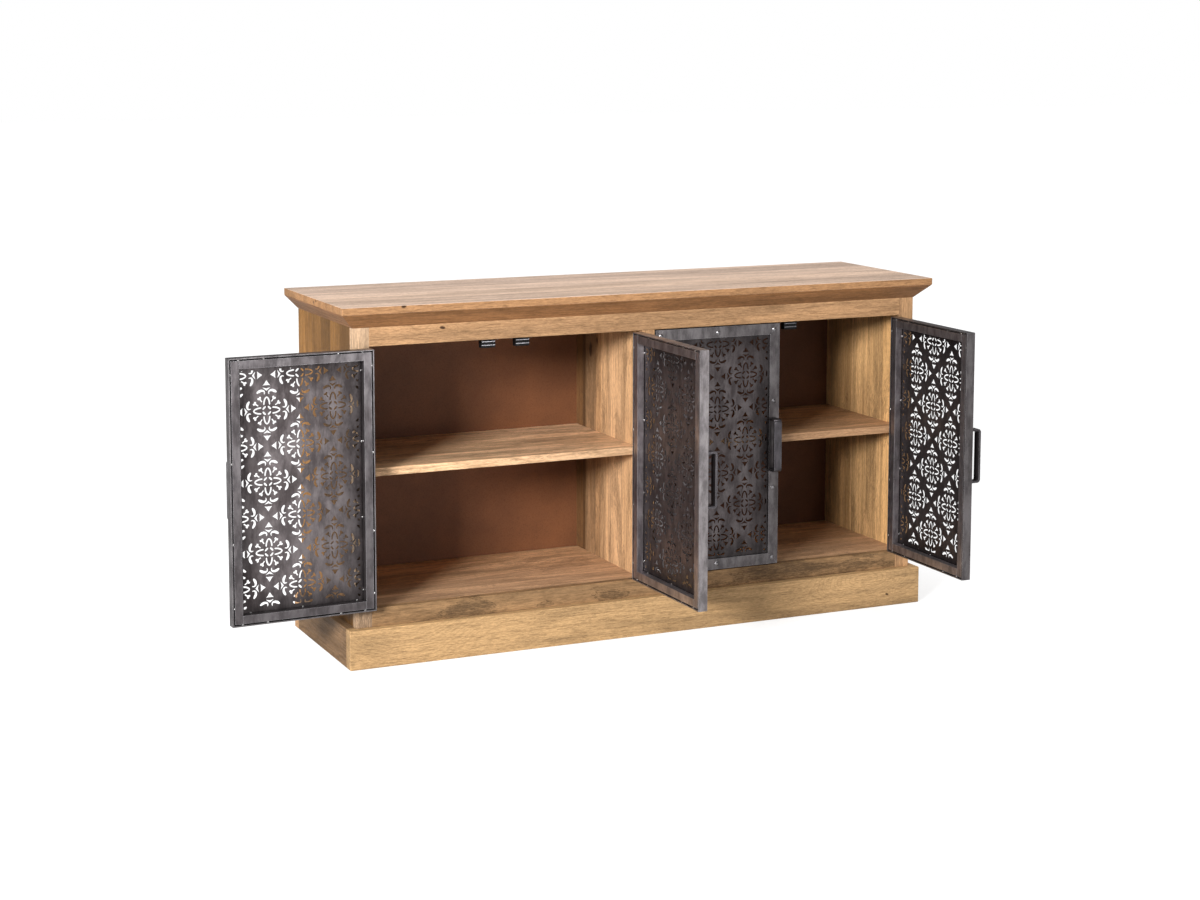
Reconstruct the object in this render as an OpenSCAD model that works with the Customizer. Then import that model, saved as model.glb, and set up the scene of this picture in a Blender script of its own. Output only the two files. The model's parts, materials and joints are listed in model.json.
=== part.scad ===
// Four-door sideboard buffet: a solid mango-wood carcass on a plinth, closed at the
// front by four inset steel doors with pierced sheet panels.
//
// Frame: the origin is on the floor under the middle of the carcass.
// +X runs to the right as seen from the front, the doors face -Y and +Z is up.

/* [Overall] */
// Width of the carcass between the outer faces of its side panels
carcass_w = 1420; // [1300:10:1600]
// Depth of the carcass from the face frame to the back edge
carcass_d = 395; // [360:5:440]
// Height of the whole sideboard
total_h = 800; // [760:5:860]

/* [Plinth] */
// Height of the plinth
plinth_h = 88; // [70:1:110]
// How far the plinth stands out past the carcass at the front and sides
plinth_proud = 19; // [10:1:28]
// Thickness of the plinth boards
plinth_t = 30; // [29:1:36]

/* [Face frame] */
// Thickness of the face frame
frame_t = 20; // [18:1:22]
// Width of the two outer stiles
stile_w = 38; // [34:1:46]
// Width of the centre stile and thickness of the divider behind it
centre_w = 32; // [30:1:40]
// Height of the bottom rail
bottom_rail_h = 42; // [36:1:50]
// Height of the top rail that shows under the cornice
top_rail_h = 41; // [36:1:50]

/* [Top and cornice] */
// Thickness of the top board
top_t = 16; // [14:1:22]
// Height and overhang of the sloped cornice
cornice = 33; // [26:1:40]

/* [Panels] */
// Thickness of the side panels and the floor board
panel_t = 20; // [18:1:22]
// Thickness of the back panel
back_t = 6; // [4:1:8]
// Distance from the back edge of the carcass to the back panel
back_inset = 19; // [12:1:26]

/* [Shelves] */
// Thickness of the two shelves
shelf_t = 18; // [16:1:22]
// Height of a shelf's underside above the floor
shelf_z = 417; // [380:1:450]
// Distance from the front plane to a shelf's front edge
shelf_setback = 30; // [26:1:60]
// Depth of the housing that holds each end of a shelf
housing = 5; // [3:1:8]

/* [Doors] */
// Thickness of a door
door_t = 22; // [20:1:24]
// Gap between a door and the opening above, below and at its hinges
door_gap = 2; // [2:0.5:3]
// Gap between the two doors of a pair
meeting_gap = 2; // [2:0.5:4]
// Wall thickness of the angle that makes the outer frame
angle_wall = 3; // [2:0.5:4]
// Width of the angle's front flange
flange_w = 26; // [22:1:30]
// Thickness of the pierced sheet
sheet_t = 1.5; // [1:0.5:2]
// Width of the square tube that makes the inner frame
tube_w = 18; // [15:1:20]
// Wall thickness of the square tube
tube_wall = 1.5; // [1:0.5:2]
// Gap between the angle's side flange and the tube
tube_gap = 2.5; // [2:0.5:3]

/* [Handles] */
// Length of a strap handle
handle_l = 126; // [110:2:150]
// Width of the strap
handle_w = 20; // [16:1:24]
// Thickness of the strap
handle_t = 5; // [4:0.5:6]
// Height of the handle above the door's face
handle_out = 26; // [22:1:32]
// Distance from the door's free edge to the middle of the handle
handle_inset = 16; // [14:1:20]

/* [Open angles at rest] */
// Opening of door 1, hinged on the left stile
open_1 = 178; // [0:1:180]
// Opening of door 2, hinged on the left of the centre stile
open_2 = 91; // [0:1:91]
// Opening of door 3, hinged on the right of the centre stile
open_3 = 0; // [0:1:85]
// Opening of door 4, hinged on the right stile
open_4 = 90; // [0:1:180]

/* [Hidden] */
CABINET_NODES = [
    "top_board", "cornice_front", "cornice_left", "cornice_right",
    "side_left", "side_right", "centre_divider",
    "stile_left", "stile_right", "stile_centre", "top_rail", "bottom_rail",
    "floor_board", "back_panel", "shelf_left", "shelf_right",
    "plinth_front", "plinth_back", "plinth_left", "plinth_right", "plinth_cross_rail",
    "catch_battens", "catch_bodies", "catch_plates", "catch_screws",
    "hinge_stile_leaves", "hinge_pins", "hinge_screws"
];
DOOR_PARTS = ["frame", "inner_frame", "panel", "rivets", "handle", "hinge_leaves"];
DOORS = [1, 2, 3, 4];

$fn = 48;

WOOD = "burlywood";
WOOD_DARK = "peru";
BOARD = "saddlebrown";
STEEL = "dimgray";
BRIGHT = "silver";

half_w = carcass_w / 2;
front_y = -carcass_d / 2;
back_y = carcass_d / 2;
behind_frame_y = front_y + frame_t;
inner_back_y = back_y - back_inset - back_t;
top_z = total_h - top_t;
cornice_z = top_z - cornice;
opening_z0 = plinth_h + bottom_rail_h;
opening_z1 = cornice_z - top_rail_h;
stile_x = half_w - stile_w;
centre_x = centre_w / 2;
inner_x = half_w - panel_t;
plinth_x = half_w + plinth_proud;
plinth_y = front_y - plinth_proud;

// Doors: one bay holds two doors, two hinge gaps and the meeting gap.
bay_w = stile_x - centre_x;
door_w = (bay_w - 2 * door_gap - meeting_gap) / 2;
door_z = opening_z0 + door_gap;
door_h = opening_z1 - opening_z0 - 2 * door_gap;
sheet_gap = 0.5;
weld_gap = 0.15;
OPEN = [open_1, open_2, open_3, open_4];
// Edge of the stile that carries each door, and +1 where the door hangs on its left edge.
HINGE_X = [-stile_x, -centre_x, centre_x, stile_x];
HAND = [1, -1, 1, -1];

// Hinges: a barrel in front of the door's face, with leaves in the hinge gap.
pivot_out = 4;
barrel_r = 3.5;
pin_r = 1.5;
pin_clearance = 0.05;
hinge_l = 60;
knuckle_l = 20;
knuckle_gap = 0.3;
leaf_t = 0.9;
leaf_d = 18;
HINGE_Z = [90, door_h - 90];
screw_r = 1.25;
screw_head_r = 2.5;
screw_l = 12;
SCREW_Z = [8, 30, 52];
SCREW_DEPTH = [13, 9, 13];

// Rivets: three across the top and bottom and two more on each long side.
rivet_inset = 14;
rivet_r = 5;
rivet_h = 2.4;
rivet_shank_r = 2;
rivet_step = 103.5;

// Magnetic catches under the top rail, one for each door.
catch_spread = 41;
catch_l = 34;
catch_d = 15;
catch_h = 19;
catch_base_t = 3;
catch_base_l = 62;
catch_y = front_y + door_t + 3;
CATCH_PLATE_Z = [5, 13];
catch_plate_t = 1.6;
catch_plate_out = 1.2;
catch_ear = 24;
batten_h = 30;
batten_d = 26;
catch_x = [for (s = [-1, 1]) for (k = [-1, 1]) s * (centre_x + bay_w / 2) + k * catch_spread];

// A box from its lowest to its highest corner.
module block(low, high) {
    translate(low) cube(high - low);
}

// ---- Cabinet ----

module top_board() {
    color(WOOD)
        block([-half_w - cornice, front_y - cornice, top_z], [half_w + cornice, back_y, total_h]);
}

// Sloped moulding along the front, mitred at both ends by its own 45 degree slope planes.
module cornice_section(length) {
    rotate([90, 0, 90]) linear_extrude(length) polygon([[0, 0], [0, cornice], [-cornice, cornice]]);
}

module cornice_front() {
    color(WOOD)
        difference() {
            translate([-half_w - cornice, front_y, cornice_z]) cornice_section(carcass_w + 2 * cornice);
            for (s = [-1, 1]) translate([s * half_w, front_y, 0]) mitre_cut(s);
        }
}

// Removes what lies outside the mitre plane at a front corner.
module mitre_cut(s) {
    translate([0, 0, cornice_z - 1])
        linear_extrude(cornice + 2)
            polygon([[0, 0], [s * 2 * cornice, -2 * cornice], [s * 2 * cornice, cornice], [0, cornice]]);
}

module cornice_side(s) {
    color(WOOD)
        difference() {
            translate([s * half_w, front_y - cornice, cornice_z])
                rotate([90, 0, 180])
                    linear_extrude(carcass_d + cornice)
                        polygon([[0, 0], [0, cornice], [-s * cornice, cornice]]);
            translate([s * half_w, front_y, cornice_z - 1])
                linear_extrude(cornice + 2)
                    polygon([[0, 0], [s * 2 * cornice, -2 * cornice], [-s * cornice, -2 * cornice],
                             [-s * cornice, 0]]);
        }
}

module cornice_left() { cornice_side(-1); }
module cornice_right() { cornice_side(1); }

module side_panel(s) {
    color(WOOD_DARK)
        difference() {
            translate([s * (half_w - panel_t / 2), 0, 0])
                block([-panel_t / 2, behind_frame_y, plinth_h], [panel_t / 2, back_y, top_z]);
            translate([s * inner_x, 0, 0])
                block([-housing, behind_frame_y - 1, shelf_z], [housing, inner_back_y, shelf_z + shelf_t]);
        }
}

module side_left() { side_panel(-1); }
module side_right() { side_panel(1); }

module centre_divider() {
    color(WOOD_DARK)
        difference() {
            block([-centre_x, behind_frame_y, opening_z0], [centre_x, inner_back_y, top_z]);
            for (s = [-1, 1]) translate([s * centre_x, 0, 0])
                block([-housing, behind_frame_y - 1, shelf_z], [housing, inner_back_y + 1, shelf_z + shelf_t]);
        }
}

module stile(s) {
    color(WOOD)
        translate([s * (stile_x + stile_w / 2), 0, 0])
            block([-stile_w / 2, front_y, plinth_h], [stile_w / 2, behind_frame_y, top_z]);
}

module stile_left() { stile(-1); }
module stile_right() { stile(1); }

module stile_centre() {
    color(WOOD)
        block([-centre_x, front_y, opening_z0], [centre_x, behind_frame_y, opening_z1]);
}

module top_rail() {
    color(WOOD)
        block([-stile_x, front_y, opening_z1], [stile_x, behind_frame_y, top_z]);
}

module bottom_rail() {
    color(WOOD_DARK)
        block([-stile_x, front_y, plinth_h], [stile_x, behind_frame_y, opening_z0]);
}

module floor_board() {
    color(WOOD_DARK)
        block([-inner_x, behind_frame_y, opening_z0 - panel_t], [inner_x, inner_back_y, opening_z0]);
}

module back_panel() {
    color(BOARD)
        block([-inner_x, inner_back_y, plinth_h], [inner_x, inner_back_y + back_t, top_z]);
}

module shelf(s) {
    color(WOOD)
        translate([s * (centre_x + inner_x) / 2, 0, 0])
            block([-(inner_x - centre_x) / 2 - housing, front_y + shelf_setback, shelf_z],
                  [(inner_x - centre_x) / 2 + housing, inner_back_y, shelf_z + shelf_t]);
}

module shelf_left() { shelf(-1); }
module shelf_right() { shelf(1); }

module plinth_front() {
    color(WOOD) block([-plinth_x, plinth_y, 0], [plinth_x, plinth_y + plinth_t, plinth_h]);
}

module plinth_back() {
    color(WOOD_DARK) block([-plinth_x, back_y - plinth_t, 0], [plinth_x, back_y, plinth_h]);
}

module plinth_side(s) {
    color(WOOD_DARK)
        translate([s * (plinth_x - plinth_t / 2), 0, 0])
            block([-plinth_t / 2, plinth_y + plinth_t, 0], [plinth_t / 2, back_y - plinth_t, plinth_h]);
}

module plinth_left() { plinth_side(-1); }
module plinth_right() { plinth_side(1); }

// Middle bearer of the plinth, which also carries the floor board under the divider.
module plinth_cross_rail() {
    color(WOOD_DARK) {
        block([-plinth_t / 2, plinth_y + plinth_t, 0], [plinth_t / 2, back_y - plinth_t, plinth_h]);
        block([-plinth_t / 2, behind_frame_y, plinth_h],
              [plinth_t / 2, back_y - plinth_t, opening_z0 - panel_t]);
    }
}

// ---- Magnetic catches ----

module catch_battens() {
    color(WOOD_DARK)
        for (s = [-1, 1]) translate([s * (centre_x + inner_x) / 2, 0, 0])
            block([-(inner_x - centre_x) / 2, behind_frame_y, opening_z1],
                  [(inner_x - centre_x) / 2, behind_frame_y + batten_d, opening_z1 + batten_h]);
}

module catch_bodies() {
    color("black")
        for (x = catch_x) translate([x, catch_y, opening_z1]) {
            difference() {
                block([-catch_base_l / 2, 1, -catch_base_t], [catch_base_l / 2, catch_d - 1, 0]);
                for (k = [-1, 1]) translate([k * catch_ear, catch_d / 2, -catch_base_t - 1])
                    cylinder(r = 1.8, h = catch_base_t + 2);
            }
            difference() {
                block([-catch_l / 2, 0, -catch_h - catch_base_t], [catch_l / 2, catch_d, -catch_base_t]);
                for (z = CATCH_PLATE_Z) translate([0, 0, -catch_base_t - z - catch_plate_t / 2])
                    block([-catch_l / 2 + 1, -1, 0], [catch_l / 2 - 1, catch_d - 4, catch_plate_t]);
            }
        }
}

module catch_plates() {
    color(BRIGHT)
        for (x = catch_x) for (z = CATCH_PLATE_Z)
            translate([x, catch_y, opening_z1 - catch_base_t - z - catch_plate_t / 2])
                block([-catch_l / 2 + 1, -catch_plate_out, 0], [catch_l / 2 - 1, catch_d - 4, catch_plate_t]);
}

module catch_screws() {
    color(BRIGHT)
        for (x = catch_x) for (k = [-1, 1])
            translate([x + k * catch_ear, catch_y + catch_d / 2, opening_z1 - catch_base_t]) {
                translate([0, 0, -2]) cylinder(r = 3.4, h = 2);
                cylinder(r = 1.6, h = 18);
            }
}

// ---- Doors ----
// A door is drawn closed and left-hung: X from its hinge edge to its free edge,
// Y from its front face into the cabinet, Z up from its lower edge.

// Places a stile-fixed child drawn in the closed door's own axes.
module at_stile(n) {
    translate([HINGE_X[n - 1] + HAND[n - 1] * door_gap, front_y, door_z])
        mirror([HAND[n - 1] < 0 ? 1 : 0, 0, 0])
            children();
}

// Places a child on the door itself, turned to its open angle about the hinge pins.
module on_door(n) {
    translate([HINGE_X[n - 1] + HAND[n - 1] * door_gap / 2, front_y - pivot_out, door_z])
        rotate([0, 0, -HAND[n - 1] * OPEN[n - 1]])
            mirror([HAND[n - 1] < 0 ? 1 : 0, 0, 0])
                translate([door_gap / 2, pivot_out, 0])
                    children();
}

// Outline of one side of a frame between its mitres: side 0 hinge, 1 free, 2 bottom, 3 top.
module mitred_side(side, depth) {
    m = flange_w + 20;
    g = weld_gap;
    shapes = [
        [[-g, 0], [m - g, m], [m - g, door_h - m], [-g, door_h], [-1, door_h], [-1, 0]],
        [[door_w + g, 0], [door_w - m + g, m], [door_w - m + g, door_h - m], [door_w + g, door_h],
         [door_w + 1, door_h], [door_w + 1, 0]],
        [[g, 0], [m + g, m], [door_w - m - g, m], [door_w - g, 0], [door_w - g, -1], [g, -1]],
        [[g, door_h], [m + g, door_h - m], [door_w - m - g, door_h - m], [door_w - g, door_h],
         [door_w - g, door_h + 1], [g, door_h + 1]]
    ];
    translate([0, depth + 1, 0]) rotate([90, 0, 0]) linear_extrude(depth + 2) polygon(shapes[side]);
}

// Outer frame: four lengths of angle, mitred and welded.
module door_frame(n) {
    color(STEEL)
        on_door(n)
            for (side = [0:3]) intersection() {
                difference() {
                    cube([door_w, door_t, door_h]);
                    block([angle_wall, angle_wall, angle_wall],
                          [door_w - angle_wall, door_t + 1, door_h - angle_wall]);
                    block([flange_w, -1, flange_w], [door_w - flange_w, door_t, door_h - flange_w]);
                }
                mitred_side(side, door_t);
            }
}

// One length of square tube, open at both ends, along Z or along X.
module tube(low, high, along_x) {
    difference() {
        block(low, high);
        if (along_x)
            block([low[0] - 1, low[1] + tube_wall, low[2] + tube_wall],
                  [high[0] + 1, high[1] - tube_wall, high[2] - tube_wall]);
        else
            block([low[0] + tube_wall, low[1] + tube_wall, low[2] - 1],
                  [high[0] - tube_wall, high[1] - tube_wall, high[2] + 1]);
    }
}

// Inner frame: two upright tubes with two rails welded between them.
module door_inner_frame(n) {
    e = angle_wall + tube_gap;
    y0 = angle_wall + sheet_t;
    y1 = door_t - 1;
    color(STEEL)
        on_door(n) {
            for (x = [e, door_w - e - tube_w]) tube([x, y0, e], [x + tube_w, y1, door_h - e], false);
            for (z = [e, door_h - e - tube_w])
                tube([e + tube_w + weld_gap, y0, z], [door_w - e - tube_w - weld_gap, y1, z + tube_w], true);
        }
}

module door_panel(n) {
    e = angle_wall + sheet_gap;
    color("slategray")
        on_door(n)
            block([e, angle_wall, e], [door_w - e, angle_wall + sheet_t, door_h - e]);
}

function rivet_places() = concat(
    [for (x = [rivet_inset, door_w / 2, door_w - rivet_inset])
        for (z = [rivet_inset, door_h - rivet_inset]) [x, z]],
    [for (x = [rivet_inset, door_w - rivet_inset])
        for (k = [-1, 1]) [x, door_h / 2 + k * rivet_step]]);

// Dome-headed rivets through the angle, the sheet and the tube's near wall.
module door_rivets(n) {
    dome_r = (rivet_r * rivet_r + rivet_h * rivet_h) / (2 * rivet_h);
    color(BRIGHT)
        on_door(n)
            for (p = rivet_places()) translate([p[0], 0, p[1]]) rotate([90, 0, 0]) {
                intersection() {
                    translate([0, 0, rivet_h - dome_r]) sphere(r = dome_r);
                    cylinder(r = rivet_r, h = rivet_h);
                }
                translate([0, 0, -angle_wall - sheet_t - tube_wall])
                    cylinder(r = rivet_shank_r, h = angle_wall + sheet_t + tube_wall);
            }
}

// Rectangle with round corners on its far side, which is the side away from the door.
module round_strap(l, w, r) {
    square([l, w - r]);
    translate([r, 0]) square([l - 2 * r, w]);
    for (x = [r, l - r]) translate([x, w - r]) circle(r = r);
}

// Strap bent to a U and welded to the free side of the frame.
module door_handle(n) {
    bend_r = 8;
    color(STEEL)
        on_door(n)
            translate([door_w - handle_inset - handle_w / 2, 0, (door_h - handle_l) / 2])
                rotate([90, -90, 90])
                    linear_extrude(handle_w)
                        difference() {
                            round_strap(handle_l, handle_out, bend_r);
                            translate([handle_t, -1])
                                round_strap(handle_l - 2 * handle_t, handle_out - handle_t + 1,
                                            bend_r - handle_t);
                        }
}

// ---- Hinges ----

// Leaf in the hinge gap with its knuckles; x0 is its near face in the closed door's axes.
module hinge_leaf(x0, knuckles, bore_r, screws) {
    difference() {
        union() {
            block([x0, 0, 0], [x0 + leaf_t, leaf_d, hinge_l]);
            for (k = knuckles) translate([0, 0, k * knuckle_l]) {
                z0 = k == 0 ? 0 : knuckle_gap / 2;
                z1 = k == 2 ? knuckle_l : knuckle_l - knuckle_gap / 2;
                block([x0, -pivot_out, z0], [x0 + leaf_t, 0, z1]);
                translate([-door_gap / 2, -pivot_out, z0]) cylinder(r = barrel_r, h = z1 - z0);
            }
        }
        translate([-door_gap / 2, -pivot_out, -1]) cylinder(r = bore_r, h = hinge_l + 2);
        if (screws)
            for (i = [0:2]) translate([x0 - 1, SCREW_DEPTH[i], SCREW_Z[i]])
                rotate([0, 90, 0]) cylinder(r = screw_head_r, h = leaf_t + 2);
    }
}

module at_hinges(n) {
    for (z = HINGE_Z) translate([0, 0, z - hinge_l / 2]) children();
}

module hinge_stile_leaves() {
    color(BRIGHT)
        for (n = DOORS) at_stile(n) at_hinges(n) hinge_leaf(-door_gap, [0, 2], pin_r, true);
}

module hinge_pins() {
    color(BRIGHT)
        for (n = DOORS) at_stile(n) at_hinges(n)
            translate([-door_gap / 2, -pivot_out, -1]) cylinder(r = pin_r, h = hinge_l + 2);
}

module hinge_screws() {
    color(BRIGHT)
        for (n = DOORS) at_stile(n) at_hinges(n)
            for (i = [0:2]) translate([-door_gap, SCREW_DEPTH[i], SCREW_Z[i]]) rotate([0, 90, 0]) {
                cylinder(r = screw_head_r, h = leaf_t);
                translate([0, 0, -screw_l]) cylinder(r = screw_r, h = screw_l);
            }
}

module door_hinge_leaves(n) {
    color(BRIGHT)
        on_door(n) at_hinges(n) hinge_leaf(-leaf_t, [1], pin_r + pin_clearance, false);
}

top_board();
cornice_front();
cornice_left();
cornice_right();
side_left();
side_right();
centre_divider();
stile_left();
stile_right();
stile_centre();
top_rail();
bottom_rail();
floor_board();
back_panel();
shelf_left();
shelf_right();
plinth_front();
plinth_back();
plinth_left();
plinth_right();
plinth_cross_rail();
catch_battens();
catch_bodies();
catch_plates();
catch_screws();
hinge_stile_leaves();
hinge_pins();
hinge_screws();
for (n = DOORS) {
    door_frame(n);
    door_inner_frame(n);
    door_panel(n);
    door_rivets(n);
    door_handle(n);
    door_hinge_leaves(n);
}
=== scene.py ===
"""Looks of the sideboard buffet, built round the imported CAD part.

The CAD nodes keep their shapes and get softened edges and procedural materials. A pierced sheet
replaces each of the four plain door panels, and weld beads join the pieces of each door.
Lengths are in metres in the row frame: X along the front, Y to the back, Z up, origin on the floor.
"""

import json
import math

import bmesh
import bpy
from mathutils import Matrix, Vector, noise
from mathutils.geometry import delaunay_2d_cdt


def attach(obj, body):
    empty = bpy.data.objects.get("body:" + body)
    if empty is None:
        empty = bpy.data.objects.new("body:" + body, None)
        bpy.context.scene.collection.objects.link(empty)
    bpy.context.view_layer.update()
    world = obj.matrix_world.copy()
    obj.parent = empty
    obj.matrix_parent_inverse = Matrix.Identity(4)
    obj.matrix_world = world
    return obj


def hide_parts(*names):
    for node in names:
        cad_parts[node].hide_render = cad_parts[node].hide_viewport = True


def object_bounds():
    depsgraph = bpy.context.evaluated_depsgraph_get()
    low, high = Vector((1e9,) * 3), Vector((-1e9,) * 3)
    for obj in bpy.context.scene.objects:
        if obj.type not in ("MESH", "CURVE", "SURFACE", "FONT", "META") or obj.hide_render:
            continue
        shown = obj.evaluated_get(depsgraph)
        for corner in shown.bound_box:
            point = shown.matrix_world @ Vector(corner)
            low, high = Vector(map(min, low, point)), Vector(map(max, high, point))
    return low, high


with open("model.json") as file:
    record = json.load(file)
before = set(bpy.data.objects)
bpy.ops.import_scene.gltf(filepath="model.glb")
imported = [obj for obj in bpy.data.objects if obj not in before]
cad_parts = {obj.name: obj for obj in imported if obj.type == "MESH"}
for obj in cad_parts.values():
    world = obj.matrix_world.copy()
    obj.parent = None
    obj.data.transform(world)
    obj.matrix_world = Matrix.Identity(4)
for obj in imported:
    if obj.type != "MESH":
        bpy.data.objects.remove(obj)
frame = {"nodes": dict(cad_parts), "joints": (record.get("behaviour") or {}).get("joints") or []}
cad_low, cad_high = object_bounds()

MM = 0.001

# How light the steel of each door is: its frame, its tube and its sheet. The doors are one steel, so these
# shares are painted light and shade, each part lighter or darker for how the light falls on that door.
DOOR_TONES = {
    "door_1": (1.00, 0.86, 0.96),
    "door_2": (1.34, 1.34, 1.00),
    "door_3": (1.00, 1.00, 0.85),
    "door_4": (1.03, 1.28, 0.88),
}

# Door sizes that part.scad sets and no node's box gives.
WALL = 3 * MM
FLANGE = 26 * MM
TUBE_START = 5.5 * MM
TUBE_WIDTH = 18 * MM

# The pierced pattern: medallions on a centred lattice.
PITCH_X = 147.8 * MM
PITCH_Z = 153 * MM
FIRST_ROW = 41.7 * MM
MEDALLION = 64.5 * MM
CLIP_SIDE = 4.5 * MM
CLIP_BOTTOM = 6.5 * MM
SHEET_THICKNESS = 0.7 * MM

# Widths of the rounded edges.
WOOD_ARRIS = 1.2 * MM
STEEL_ARRIS = 0.5 * MM
HANDLE_ARRIS = 0.6 * MM

# Weld beads: half sizes along the seam, across it and off the steel.
BEAD_LENGTH = 2.4 * MM
BEAD_WIDTH = 1.5 * MM
BEAD_RISE = 0.7 * MM


# ---------------------------------------------------------------- the doors' own frames


def hinge_of(door):
    """The joint that carries a door."""
    return next(j for j in frame["joints"] if j["child"] == door)


def swing(door):
    """The matrix that takes a door from closed to where it stands at rest."""
    joint = hinge_of(door)
    pivot = Matrix.Translation(Vector(joint["pos_m"]))
    turn = Matrix.Rotation(math.radians(-joint["range_deg"][0]), 4, Vector(joint["axis"]))
    return pivot @ turn @ pivot.inverted()


def closed_box(node, door):
    """Lowest and highest corner of a door's CAD node with the door closed."""
    back = swing(door).inverted()
    points = [back @ v.co for v in frame["nodes"][node].data.vertices]
    low = Vector([min(p[i] for p in points) for i in range(3)])
    high = Vector([max(p[i] for p in points) for i in range(3)])
    return low, high


def place_on_door(name, mesh, door):
    """A piece built in closed-door coordinates, put where the door stands at rest."""
    piece = bpy.data.objects.new(name, mesh)
    bpy.context.scene.collection.objects.link(piece)
    piece.matrix_world = swing(door)
    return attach(piece, door)


# ---------------------------------------------------------------- the pierced pattern


def smooth_stroke(points, steps=3):
    """Points and half widths along a Catmull-Rom line through (x, y, half width) points."""
    knots = [Vector(p) for p in points]
    knots = [2 * knots[0] - knots[1], *knots, 2 * knots[-1] - knots[-2]]
    line = []
    for a, b, c, d in zip(knots, knots[1:], knots[2:], knots[3:]):
        for step in range(steps):
            t = step / steps
            square = 2 * a - 5 * b + 4 * c - d
            cube = 3 * b - a - 3 * c + d
            line.append((2 * b + (c - a) * t + square * t**2 + cube * t**3) / 2)
    line.append(knots[-2])
    return line


def stroke(points, steps=3, cap=3):
    """Outline of a stroke that follows the points with their half widths and has round ends."""
    line = smooth_stroke(points, steps)
    left, right = [], []
    for i, p in enumerate(line):
        along = (line[min(i + 1, len(line) - 1)] - line[max(i - 1, 0)]).to_2d().normalized()
        side = Vector((-along.y, along.x)) * p.z
        left.append(p.to_2d() + side)
        right.append(p.to_2d() - side)

    def round_end(start, centre, towards):
        arm = start - centre
        turn = math.pi / (cap + 1)
        return [centre + Matrix.Rotation(-turn * (k + 1) * towards, 2) @ arm for k in range(cap)]

    far = round_end(left[-1], line[-1].to_2d(), 1)
    near = round_end(right[0], line[0].to_2d(), 1)
    return left + far + right[::-1] + near


def mirrored(half):
    """A closed outline from its right half, listed from one end of the axis to the other."""
    points = [Vector(p) for p in half]
    return points + [Vector((-p.x, p.y)) for p in reversed(points) if abs(p.x) > 1e-6]


def bud():
    """A stem with a two-lobed, notched head, leaning away from the vertical axis."""
    half = [(0.020, 0.0), (0.021, 0.090), (0.036, 0.116), (0.061, 0.126), (0.071, 0.152)]
    half += [(0.060, 0.186), (0.037, 0.196), (0.0, 0.174)]
    lean = Matrix.Rotation(-math.radians(35), 2)
    return [lean @ p + Vector((0.165, 0.290)) for p in mirrored(half)]


def comma():
    """A thin hook by the axis that swells into a rounded tail."""
    return stroke(
        [
            (0.082, 0.552, 0.014),
            (0.072, 0.608, 0.022),
            (0.108, 0.656, 0.031),
            (0.190, 0.666, 0.041),
            (0.262, 0.638, 0.046),
            (0.318, 0.604, 0.030),
        ],
        steps=2,
    )


def medallion_shapes():
    """Every slot of one medallion as an outline, in units of the medallion's radius."""
    centre_bar = stroke(
        [(0.054, 0.124, 0.026), (0.091, 0.091, 0.032), (0.124, 0.054, 0.026)],
        steps=1,
        cap=2,
    )
    arch = stroke(
        [
            (-0.098, 0.208, 0.024),
            (-0.088, 0.300, 0.027),
            (-0.052, 0.400, 0.026),
            (0.000, 0.446, 0.024),
            (0.052, 0.400, 0.026),
            (0.088, 0.300, 0.027),
            (0.098, 0.208, 0.024),
        ],
        steps=2,
        cap=2,
    )
    chevron = mirrored([(0.0, 0.652), (0.060, 0.702), (0.140, 0.774), (0.062, 0.752), (0.0, 0.734)])
    half_point = [(0.0, 1.010), (0.038, 0.955), (0.066, 0.905), (0.136, 0.828), (0.060, 0.842)]
    half_point += [(0.0, 0.838)]
    point = mirrored(half_point)
    shapes = []
    for quarter in range(4):
        turn = Matrix.Rotation(math.radians(90 * quarter), 2)
        for outline in (centre_bar, arch, chevron, point):
            shapes.append([turn @ p for p in outline])
        for outline in (bud(), comma()):
            shapes.append([turn @ p for p in outline])
            shapes.append([turn @ Vector((-p.x, p.y)) for p in reversed(outline)])
    return shapes


def medallion_centres(low, high):
    """Middles of the medallions that touch a door with those corners."""
    middle = (low.x + high.x) / 2
    centres = []
    for column in range(-2, 3):
        offset = PITCH_Z / 2 if column % 2 else 0
        for row in range(-1, 5):
            z = high.z - FIRST_ROW - offset - row * PITCH_Z
            if low.z - MEDALLION < z < high.z + MEDALLION:
                centres.append(Vector((middle + column * PITCH_X / 2, z)))
    return centres


def rectangle(low, high):
    """Corners of an upright rectangle, anticlockwise."""
    corners = [(low.x, low.y), (high.x, low.y), (high.x, high.y), (low.x, high.y)]
    return [Vector(corner) for corner in corners]


def within(point, low, high):
    """Whether a flat point lies between two corners."""
    return low.x < point.x < high.x and low.y < point.y < high.y


def anticlockwise(outline):
    """The outline, turned round if it runs clockwise."""
    area = sum(a.x * b.y - b.x * a.y for a, b in zip(outline, outline[1:] + outline[:1]))
    return outline if area > 0 else outline[::-1]


def pierced_faces(sheet, window, slots):
    """Triangles of a sheet with the slots cut out of it inside the window."""
    points, loops = [], []
    for outline in [sheet, window, *map(anticlockwise, slots)]:
        loops.append(list(range(len(points), len(points) + len(outline))))
        points.extend(outline)
    verts, _, faces, _, _, sources = delaunay_2d_cdt(points, [], loops, 0, 1e-7)
    kept = []
    for face, source in zip(faces, sources):
        cut = 1 in source and any(s > 1 for s in source)
        if 0 in source and not cut:
            kept.append(face)
    return verts, kept


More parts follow.
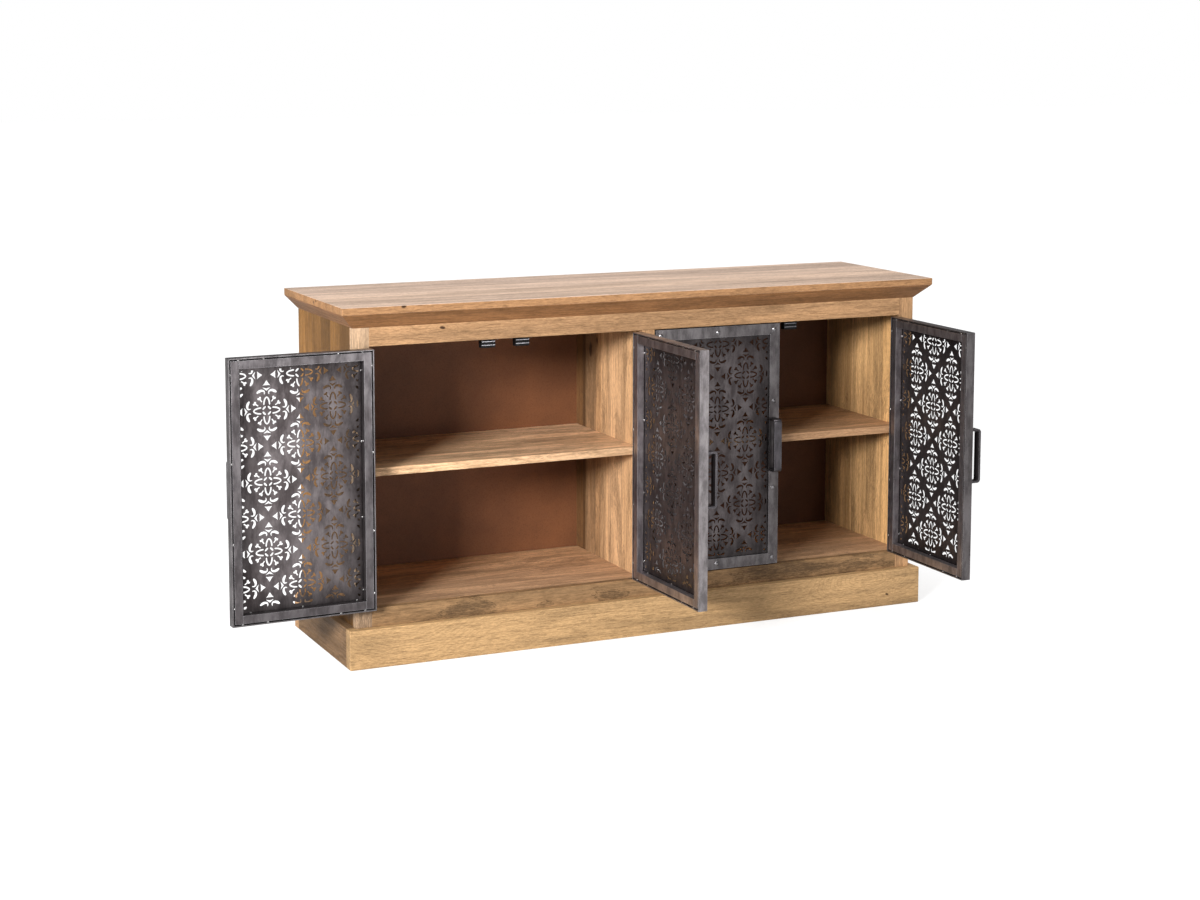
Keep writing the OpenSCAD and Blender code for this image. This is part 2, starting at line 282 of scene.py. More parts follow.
def pierced_sheet(door, material):
    """The pierced sheet of one door, which stands for the plain CAD panel."""
    node = f"{door}_panel"
    low, high = closed_box(node, door)
    door_low, door_high = closed_box(f"{door}_frame", door)
    window_low = Vector((door_low.x + FLANGE + CLIP_SIDE, door_low.z + FLANGE + CLIP_BOTTOM))
    window_high = Vector((door_high.x - FLANGE - CLIP_SIDE, door_high.z - FLANGE - CLIP_SIDE))
    slots = []
    for centre in medallion_centres(door_low, door_high):
        for shape in medallion_shapes():
            outline = [centre + p * MEDALLION for p in shape]
            if any(within(p, window_low, window_high) for p in outline):
                slots.append(outline)
    sheet = rectangle(Vector((low.x, low.z)), Vector((high.x, high.z)))
    verts, faces = pierced_faces(sheet, rectangle(window_low, window_high), slots)
    mesh = bpy.data.meshes.new(f"{door}_pierced_sheet")
    mesh.from_pydata([(p.x, low.y, p.y) for p in verts], [], faces)
    work = bmesh.new()
    work.from_mesh(mesh)
    loose = [v for v in work.verts if not v.link_faces]
    bmesh.ops.delete(work, geom=loose, context="VERTS")
    front = list(work.faces)
    grown = bmesh.ops.extrude_face_region(work, geom=front)
    moved = [v for v in grown["geom"] if isinstance(v, bmesh.types.BMVert)]
    bmesh.ops.translate(work, verts=moved, vec=(0, SHEET_THICKNESS, 0))
    bmesh.ops.recalc_face_normals(work, faces=work.faces)
    work.to_mesh(mesh)
    work.free()
    mesh.materials.append(material)
    piece = place_on_door(f"{door}_pierced_sheet", mesh, door)
    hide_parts(node)


# ---------------------------------------------------------------- weld beads


def add_bead(work, place, size, seed):
    """One lumpy weld bead."""
    made = bmesh.ops.create_icosphere(work, subdivisions=2, radius=1)
    for v in made["verts"]:
        lump = 1 + 0.25 * noise.noise(v.co * 1.7 + Vector((seed, 0, 0)))
        v.co = place + Vector((v.co.x * size[0], v.co.y * size[1], v.co.z * size[2])) * lump


def weld_beads(door, material):
    """Tack welds between a door's angle frame, tube frame and sheet."""
    low, high = closed_box(f"{door}_frame", door)
    tube_back = closed_box(f"{door}_inner_frame", door)[1].y
    sheet_back = closed_box(f"{door}_panel", door)[0].y + SHEET_THICKNESS
    in_gap = (WALL + TUBE_START) / 2
    on_sheet = TUBE_START + TUBE_WIDTH + 1 * MM
    # How far in from the door's edge, how deep, and the shares of the height and of the width.
    gap_rows = (in_gap, tube_back, (0.07, 0.31, 0.61, 0.94), (0.08, 0.25, 0.76, 0.93))
    sheet_rows = (on_sheet, sheet_back + 0.6 * MM, (0.08, 0.36, 0.65, 0.92), (0.12, 0.5, 0.86))
    work = bmesh.new()
    seed = 1.0
    for inset, y, up_shares, across_shares in (gap_rows, sheet_rows):
        for share in up_shares:
            z = low.z + share * (high.z - low.z)
            for x in (low.x + inset, high.x - inset):
                add_bead(work, Vector((x, y, z)), (BEAD_WIDTH, BEAD_RISE, BEAD_LENGTH), seed)
                seed += 1
        for share in across_shares:
            x = low.x + share * (high.x - low.x)
            for z in (low.z + inset, high.z - inset):
                add_bead(work, Vector((x, y, z)), (BEAD_LENGTH, BEAD_RISE, BEAD_WIDTH), seed)
                seed += 1
    mesh = bpy.data.meshes.new(f"{door}_weld_beads")
    work.to_mesh(mesh)
    work.free()
    for face in mesh.polygons:
        face.use_smooth = True
    mesh.materials.append(material)
    piece = place_on_door(f"{door}_weld_beads", mesh, door)


# ---------------------------------------------------------------- shader helpers


def linear(level):
    """One 0 to 255 display value as linear light."""
    return ((level / 255 + 0.055) / 1.055) ** 2.4 if level > 10 else level / 255 / 12.92


def rgb(red, green, blue):
    """A linear colour from the usual 0 to 255 values."""
    return (linear(red), linear(green), linear(blue), 1)


class Shader:
    """One procedural material, built node by node. Each call gives an output socket."""

    def __init__(self, name):
        self.material = bpy.data.materials.new(name)
        self.material.use_nodes = True
        self.tree = self.material.node_tree
        self.tree.nodes.clear()

    def add(self, kind, inputs=None, output=0, **settings):
        made = self.tree.nodes.new("ShaderNode" + kind)
        for name, value in settings.items():
            setattr(made, name, value)
        for key, value in (inputs or {}).items():
            if isinstance(value, bpy.types.NodeSocket):
                self.tree.links.new(value, made.inputs[key])
            else:
                made.inputs[key].default_value = value
        return made.outputs[output] if made.outputs else None

    def math(self, operation, a, b=0.0, c=0.0):
        return self.add("Math", {0: a, 1: b, 2: c}, operation=operation)

    def split(self, vector):
        made = self.add("SeparateXYZ", {0: vector}).node
        return [made.outputs[i] for i in range(3)]

    def join(self, x, y, z):
        return self.add("CombineXYZ", {0: x, 1: y, 2: z})

    def scaled(self, vector, scale, shift=(0, 0, 0)):
        return self.add("VectorMath", {0: vector, 1: scale, 2: shift}, operation="MULTIPLY_ADD")

    def noise(self, vector, scale, detail=3.0, roughness=0.55, distortion=0.0):
        inputs = {"Vector": vector, "Scale": scale, "Detail": detail, "Roughness": roughness}
        inputs["Distortion"] = distortion
        return self.add("TexNoise", inputs)

    def spread(self, value, low, high, to_low=0.0, to_high=1.0):
        inputs = {"Value": value, "From Min": low, "From Max": high, "To Min": to_low, "To Max": to_high}
        return self.add("MapRange", inputs, interpolation_type="SMOOTHSTEP")

    def mix(self, factor, a, b, blend="MIX"):
        return self.add("Mix", {0: factor, 6: a, 7: b}, output=2, data_type="RGBA", blend_type=blend)

    def times(self, colour, tone):
        return self.mix(1.0, colour, tone, "MULTIPLY")

    def grey(self, value):
        return self.add("CombineColor", {0: value, 1: value, 2: value})

    def bump(self, height, strength, distance):
        return self.add("Bump", {"Strength": strength, "Distance": distance, "Height": height})

    def arris(self, radius):
        """1 along the edges of a piece, falling to 0 at about radius from them."""
        rounded = self.add("Bevel", {"Radius": radius}, samples=6)
        flat = self.add("NewGeometry", output="Normal")
        same = self.add("VectorMath", {0: rounded, 1: flat}, output="Value", operation="DOT_PRODUCT")
        return self.spread(same, 0.985, 0.80, 0.0, 1.0)

    def crevice(self, reach):
        """1 deep in a gap or an inside corner, falling to 0 on open surfaces. The mask of the painted shade
        in gaps and corners.
        """
        open_share = self.add("AmbientOcclusion", {"Distance": reach}, output="AO", samples=6)
        return self.spread(open_share, 0.25, 0.85, 1.0, 0.0)

    def finish(self, **inputs):
        titles = [key.replace("_", " ").title().replace("Ior", "IOR") for key in inputs]
        surface = self.add("BsdfPrincipled", dict(zip(titles, inputs.values())))
        self.add("OutputMaterial", {"Surface": surface})
        return self.material


# ---------------------------------------------------------------- materials

X, Y, Z = 0, 1, 2


def shades(red, green, blue):
    """Light, middle, dark and spalted tones of one wood, from its usual colour."""
    tone = Vector((red, green, blue))
    light = rgb(*(tone * 1.16))
    dark = rgb(*(tone * Vector((0.64, 0.60, 0.54))))
    spalt = rgb(*(tone * Vector((0.42, 0.40, 0.38))))
    return light, rgb(*(tone * 0.98)), dark, spalt


def spotter(s, place, along):
    """Gives near(spot, size, squeeze), which is 1 at the spot and falls to 0 at size from it."""
    shaken = s.add("TexNoise", {"Vector": place, "Scale": 22.0, "Detail": 3.0}, output="Color")
    waver = s.scaled(shaken, (0.010, 0.010, 0.010), (-0.005, -0.005, -0.005))

    def near(spot, size, squeeze):
        stretch = [1.0, 1.0, 1.0]
        stretch[along] = squeeze
        away = s.add("VectorMath", {0: place, 1: spot}, operation="SUBTRACT")
        bent = s.add("VectorMath", {0: s.scaled(away, stretch), 1: waver}, operation="ADD")
        reach = s.add("VectorMath", {0: bent}, output="Value", operation="LENGTH")
        return s.spread(reach, 0.0, size, 1.0, 0.0)

    return near


def year_rings(s, grain, rings, near, knots, eyes):
    """Year rings as a wave from 0 to 0.5 that bends round the knots and closes round the eyes."""
    field = s.noise(s.scaled(grain, (1.1, 8.0, 8.0)), 1.0, detail=1.5, distortion=0.4)
    wander = s.noise(s.scaled(grain, (2.5, 9.0, 9.0)), 1.0, detail=3.0)
    field = s.math("MULTIPLY_ADD", wander, 0.30, field)
    for spot, size in knots:
        field = s.math("MULTIPLY_ADD", near(spot, size * 5, 0.4), 0.20, field)
    for spot, size in eyes:
        field = s.math("MULTIPLY_ADD", near(spot, size, 0.5), 0.75, field)
    return s.math("PINGPONG", s.math("MULTIPLY", field, rings), 0.5)


def spalting(s, grain, mottle, near, stains):
    """How spalted the wood is: mottled blotches with dark zone lines, and more of them by the stains."""
    blotch = s.noise(s.scaled(grain, (3.2, 13.0, 13.0)), 1.0, detail=8.0, roughness=0.66, distortion=0.8)
    for spot, size in stains:
        blotch = s.math("MULTIPLY_ADD", near(spot, size, 0.4), 0.17, blotch)
    inside = s.math("MULTIPLY", s.spread(blotch, 0.54, 0.60), s.spread(mottle, 0.30, 0.56, 0.45, 1.0))
    zone = s.spread(s.math("ABSOLUTE", s.math("SUBTRACT", blotch, 0.545)), 0.0, 0.012, 1.0, 0.0)
    return s.math("MAXIMUM", s.math("MULTIPLY", inside, 0.72), s.math("MULTIPLY", zone, 0.85))


def wood(name, along, across, tones, seed=0.0, plank=0.0, rings=26.0, figure=0.3, streaks=0.4,
         patches=0.2, contrast=0.18, knots=(), eyes=(), stains=(), tint=0.5, edge_tone=None, darker=()):
    """Oiled mango wood.

    along and across are the grain's and the boards' axes, tones its light, middle, dark and spalted
    colours, and plank the width of one glued board, or 0. rings, figure, streaks, patches, contrast and
    tint say how strong each part of the grain is. knots, eyes and stains are places with sizes: dark knots,
    points the year rings close round, and spalted spots. edge_tone darkens the faces that don't look up, so
    the faces that look up keep a paler painted sheen. darker lists where across the piece the boards turn
    darker, and by how much, as painted shade towards the back and in places darker wood.
    """
    light, middle, dark, spalt = tones
    s = Shader(name)
    place = s.add("TexCoord", output="Object")
    near = spotter(s, place, along)
    axes = s.split(place)
    length, width = axes[along], axes[across]
    depth = axes[3 - along - across]
    if plank:
        boards = s.math("ADD", s.math("DIVIDE", width, plank), seed)
        count = s.math("FLOOR", boards)
        luck = s.add("TexWhiteNoise", {"W": s.math("ADD", count, seed)}, noise_dimensions="1D")
        warm = s.add("TexWhiteNoise", {"W": s.math("ADD", count, seed + 40)}, noise_dimensions="1D")
        length = s.math("MULTIPLY_ADD", luck, 5.3, length)
        depth = s.math("MULTIPLY_ADD", luck, 0.7, depth)
    grain = s.scaled(s.join(length, width, depth), (1, 1, 1), (seed, seed * 0.37, seed * 0.61))
    ring = year_rings(s, grain, rings, near, knots, eyes)
    late = s.spread(ring, 0.26, 0.5)
    band = s.noise(s.scaled(grain, (1.6, 26.0, 26.0)), 1.0, detail=4.0, roughness=0.6, distortion=0.3)
    fine = s.noise(s.scaled(grain, (8.0, 230.0, 230.0)), 1.0, detail=5.0, roughness=0.72)
    mottle = s.noise(s.scaled(grain, (85.0, 380.0, 380.0)), 1.0, detail=4.0, roughness=0.75)
    pore = s.noise(s.scaled(grain, (40.0, 620.0, 620.0)), 1.0, detail=2.0, roughness=0.6)
    pores = s.spread(pore, 0.57, 0.66)

    base = s.mix(s.spread(band, 0.38, 0.62), light, middle)
    base = s.mix(s.math("MULTIPLY", late, figure), base, dark)
    base = s.mix(s.math("MULTIPLY", s.spread(fine, 0.45, 0.68), streaks), base, dark)
    base = s.times(base, s.grey(s.spread(mottle, 0.34, 0.66, 1.16, 0.82)))
    base = s.mix(s.math("MULTIPLY", pores, 0.45), base, dark)
    if plank:
        base = s.times(base, s.grey(s.spread(luck, 0.0, 1.0, 1.0 - contrast, 1.0 + contrast)))
        base = s.mix(s.math("MULTIPLY", warm, tint), base, s.times(base, (1.0, 0.93, 0.78, 1)))
    for start, amount in darker:
        behind = s.spread(width, start - MM, start + MM, 0.0, amount)
        base = s.mix(behind, base, s.times(base, (0.40, 0.33, 0.25, 1)))
    spalted = spalting(s, grain, mottle, near, stains)
    base = s.mix(s.math("MULTIPLY", spalted, patches), base, spalt)
    for spot, size in knots:
        core = s.spread(near(spot, size * 1.6, 0.55), 0.15, 0.75)
        base = s.mix(s.math("MULTIPLY", core, 0.9), base, rgb(48, 28, 17))
    # Painted sheen: the faces that don't look up are darkened, so the faces that look up stay paler.
    if edge_tone is not None:
        upright = s.math("ABSOLUTE", s.split(s.add("TexCoord", output="Normal"))[Z])
        base = s.mix(s.spread(upright, 0.5, 0.9, 1.0, 0.0), base, s.times(base, edge_tone))
    # Lighter along the arrises, broken up by the mottle: partly wear, partly painted highlight.
    wear_and_highlight = s.math("MULTIPLY", s.arris(2.0 * MM), s.spread(mottle, 0.35, 0.6, 1.0, 0.4))
    base = s.mix(s.math("MULTIPLY", wear_and_highlight, 0.35), base, s.times(base, (1.7, 1.65, 1.6, 1)))

    height = s.math("MULTIPLY_ADD", fine, 0.6, s.math("MULTIPLY", ring, 0.4))
    height = s.math("MULTIPLY_ADD", pores, -0.9, height)
    if plank:
        seam = s.spread(s.math("PINGPONG", boards, 0.5), 0.0, 0.8 * MM / plank, 1.0, 0.0)
        base = s.mix(s.math("MULTIPLY", seam, 0.6), base, dark)
        height = s.math("MULTIPLY_ADD", seam, -0.8, height)
    return s.finish(
        base_color=base,
        roughness=s.spread(fine, 0.3, 0.8, 0.45, 0.66),
        normal=s.bump(height, 0.5, 0.8 * MM),
        specular_ior_level=0.2,
    )


def hardboard(name):
    """The brown hardboard back: pressed fibre, slightly mottled, and darkened on its front face inside the
    right bay as painted shade.
    """
    s = Shader(name)
    place = s.add("TexCoord", output="Object")
    cloud = s.noise(place, 6.0, detail=4.0)
    fibre = s.noise(place, 420.0, detail=4.0, roughness=0.7)
    base = s.mix(s.spread(cloud, 0.3, 0.7), rgb(116, 73, 45), rgb(98, 61, 38))
    base = s.mix(s.spread(fibre, 0.45, 0.75, 0.0, 0.5), base, rgb(66, 40, 27))
    # Painted shade: the front face inside the right bay is darkened.
    right_bay = s.spread(s.split(place)[X], -16 * MM, 16 * MM)
    faces_doors = s.spread(s.split(s.add("TexCoord", output="Normal"))[Y], -0.5, 0.0, 1.0, 0.0)
    shaded = s.math("MULTIPLY", right_bay, faces_doors)
    base = s.mix(shaded, base, s.times(base, (0.55, 0.50, 0.46, 1)))
    return s.finish(
        base_color=base,
        roughness=s.spread(fibre, 0.3, 0.7, 0.5, 0.7),
        normal=s.bump(fibre, 0.25, 0.3 * MM),
        specular_ior_level=0.3,
    )


def steel(name, light, dark, low_rough, high_rough, along=Z, patina=0.3, fleck=0.15, edge=0.5, border=0.0,
          crevice_shade=0.8, share=1.0):
    """Burnished and lacquered mild steel, with strokes along one axis, a cloudy patina, painted highlights
    along the arrises and painted shade in gaps and inside corners. light and dark are its tones on the 0
    to 255 scale, both times share; for the doors share is painted light, lighter or darker for how the
    light falls on each door. border paints shade on a sheet: darker towards its outline, and black on the
    walls of its slots."""
    light = rgb(*(level * share for level in light))
    dark = rgb(*(level * share for level in dark))
    s = Shader(name)
    place = s.add("TexCoord", output="Object")
    stretch = [700.0, 700.0, 700.0]
    stretch[along] = 60.0
    brushed = s.noise(s.scaled(place, stretch), 1.0, detail=3.0, roughness=0.7)
    stretch = [45.0, 45.0, 45.0]
    stretch[along] = 16.0
    broad = s.noise(s.scaled(place, stretch), 1.0, detail=6.0, roughness=0.7)
    cloud = s.noise(place, 11.0, detail=5.0, roughness=0.62)
    spots = s.noise(place, 210.0, detail=3.0, roughness=0.7)
    base = s.mix(s.spread(broad, 0.36, 0.64), light, dark)
    base = s.mix(s.spread(cloud, 0.42, 0.68, 0.0, patina), base, rgb(60, 50, 49))
    base = s.mix(s.spread(spots, 0.60, 0.72, 0.0, fleck), base, rgb(42, 34, 32))
    # Painted highlight: the arrises are lightened towards a pale steel grey.
    base = s.mix(s.math("MULTIPLY", s.arris(2.2 * MM), edge), base, rgb(206, 204, 208))
    # Painted shade on a sheet: darker towards its outline, where the frame shades it.
    if border:
        across, _, up = s.split(s.add("TexCoord", output="Generated"))
        from_sides = s.math("PINGPONG", across, 0.5)
        from_ends = s.math("MULTIPLY", s.math("PINGPONG", up, 0.5), 1.77)
        inwards = s.math("MINIMUM", from_sides, from_ends)
        inwards = s.math("MULTIPLY_ADD", cloud, 0.10, inwards)
        base = s.times(base, s.grey(s.spread(inwards, 0.12, 0.34, 1 - border, 1.0)))
        # Painted shade in the slots: their walls are made near black.
        facing = s.math("ABSOLUTE", s.split(s.add("TexCoord", output="Normal"))[Y])
        base = s.mix(s.spread(facing, 0.4, 0.8, 1.0, 0.0), base, rgb(26, 22, 22))
    # Painted shade: gaps and inside corners are darkened towards near black.
    if crevice_shade:
        base = s.mix(s.math("MULTIPLY", s.crevice(5 * MM), crevice_shade), base, rgb(20, 18, 19))
    clouded = s.math("MULTIPLY_ADD", cloud, 0.5, s.math("MULTIPLY", broad, 0.5))
    rough = s.spread(clouded, 0.3, 0.7, low_rough, high_rough)
    height = s.math("MULTIPLY_ADD", broad, 0.6, brushed)
    return s.finish(
        base_color=base,
        metallic=0.95,
        roughness=rough,
        normal=s.bump(height, 0.12, 0.2 * MM),
    )


def black_plastic(name):
    """Matt moulded plastic with a fine texture."""
    s = Shader(name)
    place = s.add("TexCoord", output="Object")
    grain = s.noise(place, 900.0, detail=2.0)
    base = s.mix(s.spread(s.noise(place, 60.0), 0.3, 0.7), rgb(10, 9, 10), rgb(16, 15, 16))
    return s.finish(
        base_color=base,
        roughness=s.spread(grain, 0.3, 0.7, 0.38, 0.55),
        normal=s.bump(grain, 0.2, 0.2 * MM),
        specular_ior_level=0.2,
    )


def floor_paint(name):
    """The pale studio floor. It looks near white, but throws little light back up at the object."""
    s = Shader(name)
    place = s.add("TexCoord", output="Object")
    cloud = s.noise(place, 0.8, detail=3.0)
    tone = (FLOOR_BOUNCE, FLOOR_BOUNCE, FLOOR_BOUNCE, 1)
    base = s.mix(s.spread(cloud, 0.3, 0.7), tone, rgb(178, 178, 178))
    seen = s.add("LightPath", output="Is Camera Ray")
    return s.finish(
        base_color=base,
        roughness=0.8,
        specular_ior_level=0.1,
        emission_color=(1, 1, 1, 1),
        emission_strength=s.math("MULTIPLY", seen, FLOOR_GLOW),
    )


HONEY = shades(162, 126, 91)
PLINTH = shades(160, 129, 91)
# The cornice's tone is darker as painted shade on its down-facing faces.
CORNICE = shades(134, 95, 62)
# The top board's tone: partly its own pinkish beige, partly painted sheen on its top face.
PINK = shades(184, 161, 145)
STILE = shades(180, 151, 122)
GOLD = shades(172, 136, 94)
# A darker copy of the wood as painted shade, for side_left behind door 1; the catch battens share it.
BROWN = shades(120, 86, 47)
LIT = shades(164, 131, 99)
DARK = shades(132, 103, 72)
SHELF = shades(188, 150, 116)
# A lit copy of the shelf wood as painted light, for shelf_left.
PALE = shades(220, 182, 146)
DIM = shades(176, 138, 104)
SHADED = shades(108, 84, 60)


def dress_wood():
    """Gives every wooden CAD node its own cut of wood, with the grain along the piece."""
    skins = {
        # Its sides are darkened by edge_tone, which leaves a painted sheen on its top face.
        "top_board": wood("wood_top", X, Y, PINK, seed=2.3, plank=0.094, rings=10, figure=0.10,
                          streaks=0.25, patches=0.12, contrast=0.05, tint=0.3,
                          knots=[((-0.603, -0.2305, 0.797), 0.004), ((-0.743, -0.046, 0.796), 0.004),
                                 ((-0.743, -0.028, 0.791), 0.004)],
                          stains=[((-0.743, 0.185, 0.79), 0.03)],
                          edge_tone=(0.60, 0.43, 0.25, 1)),
        "cornice_front": wood("wood_cornice", X, Z, CORNICE, seed=5.1, rings=12, figure=0.2, streaks=0.5),
        "cornice_left": wood("wood_cornice_left", Y, Z, CORNICE, seed=6.4, rings=12, figure=0.2),
        "cornice_right": wood("wood_cornice_right", Y, Z, CORNICE, seed=7.7, rings=12, figure=0.2),
        "top_rail": wood("wood_top_rail", X, Z, HONEY, seed=3.9, rings=24, figure=0.22, patches=0.15,
                         knots=[((-0.499, -0.1975, 0.742), 0.004)]),
        "bottom_rail": wood("wood_bottom_rail", X, Z, DARK, seed=9.2, rings=18, figure=0.25, patches=0.85,
                            stains=[((-0.44, -0.1975, 0.112), 0.04), ((-0.26, -0.1975, 0.094), 0.02),
                                    ((-0.10, -0.1975, 0.096), 0.03), ((0.35, -0.1975, 0.110), 0.05)]),
        "stile_left": wood("wood_stile_left", Z, X, STILE, seed=11.5, figure=0.2, patches=0.8,
                           stains=[((-0.692, -0.1975, 0.098), 0.05)]),
        "stile_right": wood("wood_stile_right", Z, X, HONEY, seed=12.8, figure=0.2),
        "stile_centre": wood("wood_stile_centre", Z, X, HONEY, seed=13.3, figure=0.2),
        "side_left": wood("wood_side_left", Z, Y, BROWN, seed=14.6, plank=0.068, rings=9, figure=0.16,
                          streaks=0.5, patches=0.35, contrast=0.25),
        # Its boards towards the back are darker as painted shade.
        "side_right": wood("wood_side_right", Z, Y, GOLD, seed=15.4, plank=0.068, rings=9, figure=0.14,
                           streaks=0.5, patches=0.55, contrast=0.22, darker=[(0.05, 0.4)],
                           stains=[((0.67, 0.03, 0.60), 0.03), ((0.67, 0.06, 0.30), 0.04)]),
        # Its boards towards the back are darker: partly darker wood, partly painted shade.
        "centre_divider": wood("wood_divider", Z, Y, LIT, seed=17.2, plank=0.074, rings=9, figure=0.16,
                               streaks=0.5, patches=0.6, contrast=0.22,
                               darker=[(0.030, 0.5), (0.118, 0.92)],
                               stains=[((-0.016, 0.075, 0.63), 0.06), ((-0.016, 0.085, 0.50), 0.03),
                                       ((-0.016, 0.02, 0.30), 0.02)],
                               knots=[((-0.016, 0.088, 0.629), 0.010), ((-0.016, 0.052, 0.655), 0.005)]),
        "floor_board": wood("wood_floor", X, Y, SHELF, seed=18.1, plank=0.09, rings=14, figure=0.3,
                            streaks=0.6, patches=0.5, contrast=0.1),
        "shelf_left": wood("wood_shelf_left", X, Y, PALE, seed=19.7, plank=0.09, rings=14, figure=0.3,
                           streaks=0.6, patches=0.5, contrast=0.1,
                           stains=[((-0.42, -0.18, 0.426), 0.012), ((-0.20, -0.18, 0.428), 0.012)]),
        "shelf_right": wood("wood_shelf_right", X, Y, DIM, seed=20.9, plank=0.09, rings=14, figure=0.3,
                            streaks=0.6, patches=0.5, contrast=0.1),
        "plinth_front": wood("wood_plinth_front", X, Z, PLINTH, seed=22.4, rings=15, figure=0.18,
                             streaks=0.28, patches=0.25,
                             knots=[((0.637, -0.2165, 0.029), 0.003)],
                             eyes=[((-0.600, -0.2165, 0.085), 0.13), ((0.57, -0.2165, 0.08), 0.09)],
                             stains=[((-0.24, -0.2165, 0.012), 0.012), ((0.10, -0.2165, 0.03), 0.012)]),
        "plinth_back": wood("wood_plinth_back", X, Z, HONEY, seed=23.6, figure=0.3),
        "plinth_left": wood("wood_plinth_left", Y, Z, SHADED, seed=24.8, rings=16, figure=0.3, patches=0.4),
        "plinth_right": wood("wood_plinth_right", Y, Z, HONEY, seed=25.3, rings=16, figure=0.3),
        "plinth_cross_rail": wood("wood_bearer", Y, Z, DARK, seed=26.1),
        "catch_battens": wood("wood_batten", X, Z, BROWN, seed=27.9),
    }
    for node, skin in skins.items():
        dress(node, skin)
        soften(node, WOOD_ARRIS)


def dress(node, material):
    """Puts one material on a CAD node."""
    slots = frame["nodes"][node].data.materials
    slots.clear()
    slots.append(material)


def soften(node, width):
    """Rounds a CAD node's edges. Its own mesh stays as it was packed."""
    piece = frame["nodes"][node]
    weld = piece.modifiers.new("join_corners", "WELD")
    weld.merge_threshold = 0.01 * MM
    flat = piece.modifiers.new("clear_flats", "DECIMATE")
    flat.decimate_type = "DISSOLVE"
    flat.angle_limit = math.radians(0.5)
    bevel = piece.modifiers.new("soft_edges", "BEVEL")
    bevel.width = width
    bevel.segments = 2
    bevel.limit_method = "ANGLE"
    bevel.angle_limit = math.radians(30)
    bevel.harden_normals = False


def dress_metal():
    """Gives the steel, hardboard and plastic nodes their materials, and builds the doors' detail."""
    rivet = steel("rivet_steel_bright", (170, 168, 170), (130, 128, 130), 0.26, 0.4, edge=0.2)
    handle = steel("handle_steel_brushed", (108, 104, 108), (83, 80, 83), 0.32, 0.46)
    hinge = steel("hinge_steel_dark", (110, 108, 110), (82, 80, 82), 0.38, 0.52, edge=0.3)
    weld = steel("weld_steel", (226, 224, 222), (186, 184, 184), 0.2, 0.35, patina=0.1, fleck=0.05,
                 edge=0.0, crevice_shade=0.0)
    zinc = steel("bright_zinc", (170, 168, 172), (140, 138, 142), 0.18, 0.32, along=X, patina=0.0,
                 fleck=0.0, edge=0.0, crevice_shade=0.0)
    # Each door's steel is made lighter or darker by its shares: painted light and shade.
    for door, (frame_share, tube_share, sheet_share) in DOOR_TONES.items():
        frame_steel = steel(f"{door}_frame_steel", (130, 125, 126), (92, 88, 89), 0.30, 0.44,
                            edge=0.6, share=frame_share)
        tube_steel = steel(f"{door}_tube_steel", (142, 136, 138), (103, 98, 100), 0.30, 0.44,
                           edge=0.8, share=tube_share)
        sheet = steel(f"{door}_sheet_steel", (134, 126, 127), (97, 90, 91), 0.36, 0.54,
                      patina=0.45, edge=0.0, border=0.55, share=sheet_share)
        dress(f"{door}_frame", frame_steel)
        dress(f"{door}_inner_frame", tube_steel)
        dress(f"{door}_rivets", rivet)
        dress(f"{door}_handle", handle)
        dress(f"{door}_hinge_leaves", hinge)
        soften(f"{door}_frame", STEEL_ARRIS)
        soften(f"{door}_inner_frame", STEEL_ARRIS)
        soften(f"{door}_handle", HANDLE_ARRIS)
        pierced_sheet(door, sheet)
        weld_beads(door, weld)
    dress("back_panel", hardboard("hardboard_back"))
    dress("catch_bodies", black_plastic("catch_plastic"))
    dress("catch_plates", zinc)
    dress("catch_screws", hinge)
    dress("hinge_stile_leaves", hinge)
    dress("hinge_pins", hinge)
    dress("hinge_screws", hinge)


# ---------------------------------------------------------------- stage, light and camera

VIEW_POINT = Vector((-2.2142, -4.7529, 1.3864))
VIEW_AZIMUTH = math.radians(-24.66)
VIEW_ELEVATION = math.radians(6.84)
VIEW_ROLL = math.radians(0.09)
LENS_MM = 66.97
SHIFT_UP = -0.125
ROOM_LIGHT = 0.16
FLOOR_SIZE = 60
FLOOR_BOUNCE = 0.44
FLOOR_GLOW = 0.6
LIGHTS_AIM = (0, 0, 0.4)
KEY_PLACE = (-6.7, -5.7, 2.9)
KEY_SIZE = (2.2, 1.6)
KEY_WATTS = 1360
FILL_PLACE = (0.9, -4.8, 0.5)
FILL_SIZE = (1.3, 1.0)
FILL_WATTS = 26
OVERHEAD_STRENGTH = 2.7
OVERHEAD_SPREAD = math.radians(56)
OVERHEAD_TILT = math.radians(-2)


def make_camera():
    """The camera stands to the left of the front, a little above the top board."""
    back = Vector(
        (
            math.sin(VIEW_AZIMUTH) * math.cos(VIEW_ELEVATION),
            -math.cos(VIEW_AZIMUTH) * math.cos(VIEW_ELEVATION),
            math.sin(VIEW_ELEVATION),
        )
    )
    right = Vector((math.cos(VIEW_AZIMUTH), math.sin(VIEW_AZIMUTH), 0))
    up = back.cross(right)
    turned_right = right * math.cos(VIEW_ROLL) + up * math.sin(VIEW_ROLL)
    turned_up = back.cross(turned_right)
    lens = bpy.data.cameras.new("camera")
    lens.lens = LENS_MM
    lens.sensor_width = 36
    lens.shift_y = SHIFT_UP
    lens.clip_end = 200
    camera = bpy.data.objects.new("camera", lens)
    bpy.context.scene.collection.objects.link(camera)
    turn = Matrix((turned_right, turned_up, back)).transposed()
    camera.matrix_world = Matrix.Translation(VIEW_POINT) @ turn.to_4x4()
    bpy.context.scene.camera = camera


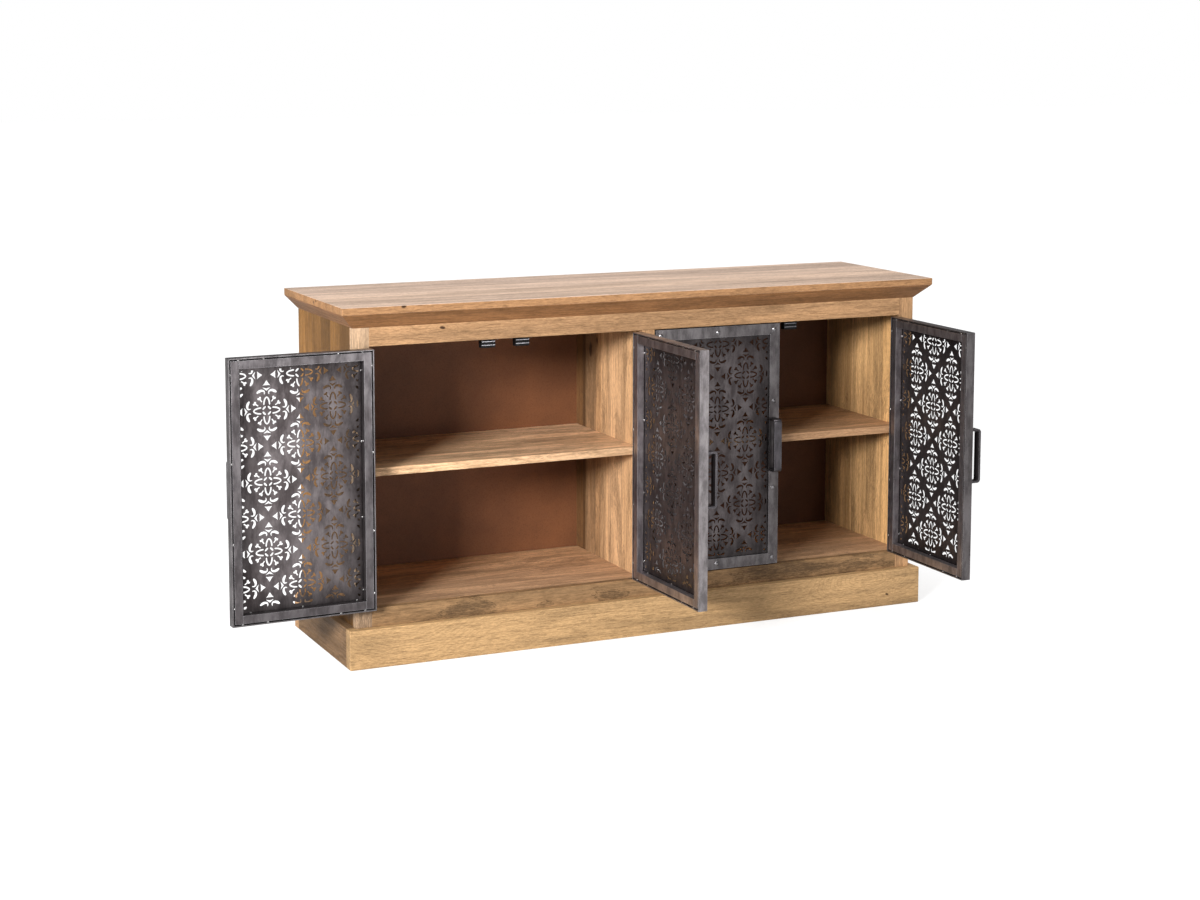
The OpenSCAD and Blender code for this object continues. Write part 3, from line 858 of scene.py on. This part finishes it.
def area_light(name, place, size, watts):
    """A softbox at place, aimed at the middle of the object."""
    data = bpy.data.lights.new(name, "AREA")
    data.shape = "RECTANGLE"
    data.size, data.size_y = size
    data.energy = watts
    light = bpy.data.objects.new(name, data)
    bpy.context.scene.collection.objects.link(light)
    light.location = place
    light.rotation_mode = "QUATERNION"
    light.rotation_quaternion = (Vector(LIGHTS_AIM) - Vector(place)).to_track_quat("-Z", "Y")


def make_stage():
    """A pale floor, a white surround, two softboxes and a soft light from above."""
    bpy.ops.mesh.primitive_plane_add(size=FLOOR_SIZE, location=(0, 0, cad_low.z))
    floor = bpy.context.object
    floor.name = "studio_floor"
    floor.data.materials.append(floor_paint("studio_floor_paint"))
    make_world()
    bpy.context.scene.view_settings.view_transform = "Standard"
    area_light("key", KEY_PLACE, KEY_SIZE, KEY_WATTS)
    area_light("fill", FILL_PLACE, FILL_SIZE, FILL_WATTS)
    overhead_light()


def overhead_light():
    """A wide soft light from above."""
    data = bpy.data.lights.new("overhead", "SUN")
    data.energy = OVERHEAD_STRENGTH
    data.angle = OVERHEAD_SPREAD
    light = bpy.data.objects.new("overhead", data)
    bpy.context.scene.collection.objects.link(light)
    light.rotation_euler = (OVERHEAD_TILT, 0, 0)


def make_world():
    """A white backdrop for the camera and a dimmer room for everything else."""
    world = bpy.data.worlds.new("studio")
    world.use_nodes = True
    tree = world.node_tree
    tree.nodes.clear()
    ray = tree.nodes.new("ShaderNodeLightPath")
    strength = tree.nodes.new("ShaderNodeMapRange")
    strength.inputs["To Min"].default_value = ROOM_LIGHT
    strength.inputs["To Max"].default_value = 1.0
    background = tree.nodes.new("ShaderNodeBackground")
    output = tree.nodes.new("ShaderNodeOutputWorld")
    tree.links.new(ray.outputs["Is Camera Ray"], strength.inputs["Value"])
    tree.links.new(strength.outputs["Result"], background.inputs["Strength"])
    tree.links.new(background.outputs["Background"], output.inputs["Surface"])
    background.inputs["Color"].default_value = (1, 1, 1, 1)
    bpy.context.scene.world = world


# ---------------------------------------------------------------- the build

dress_wood()
dress_metal()
make_stage()
make_camera()
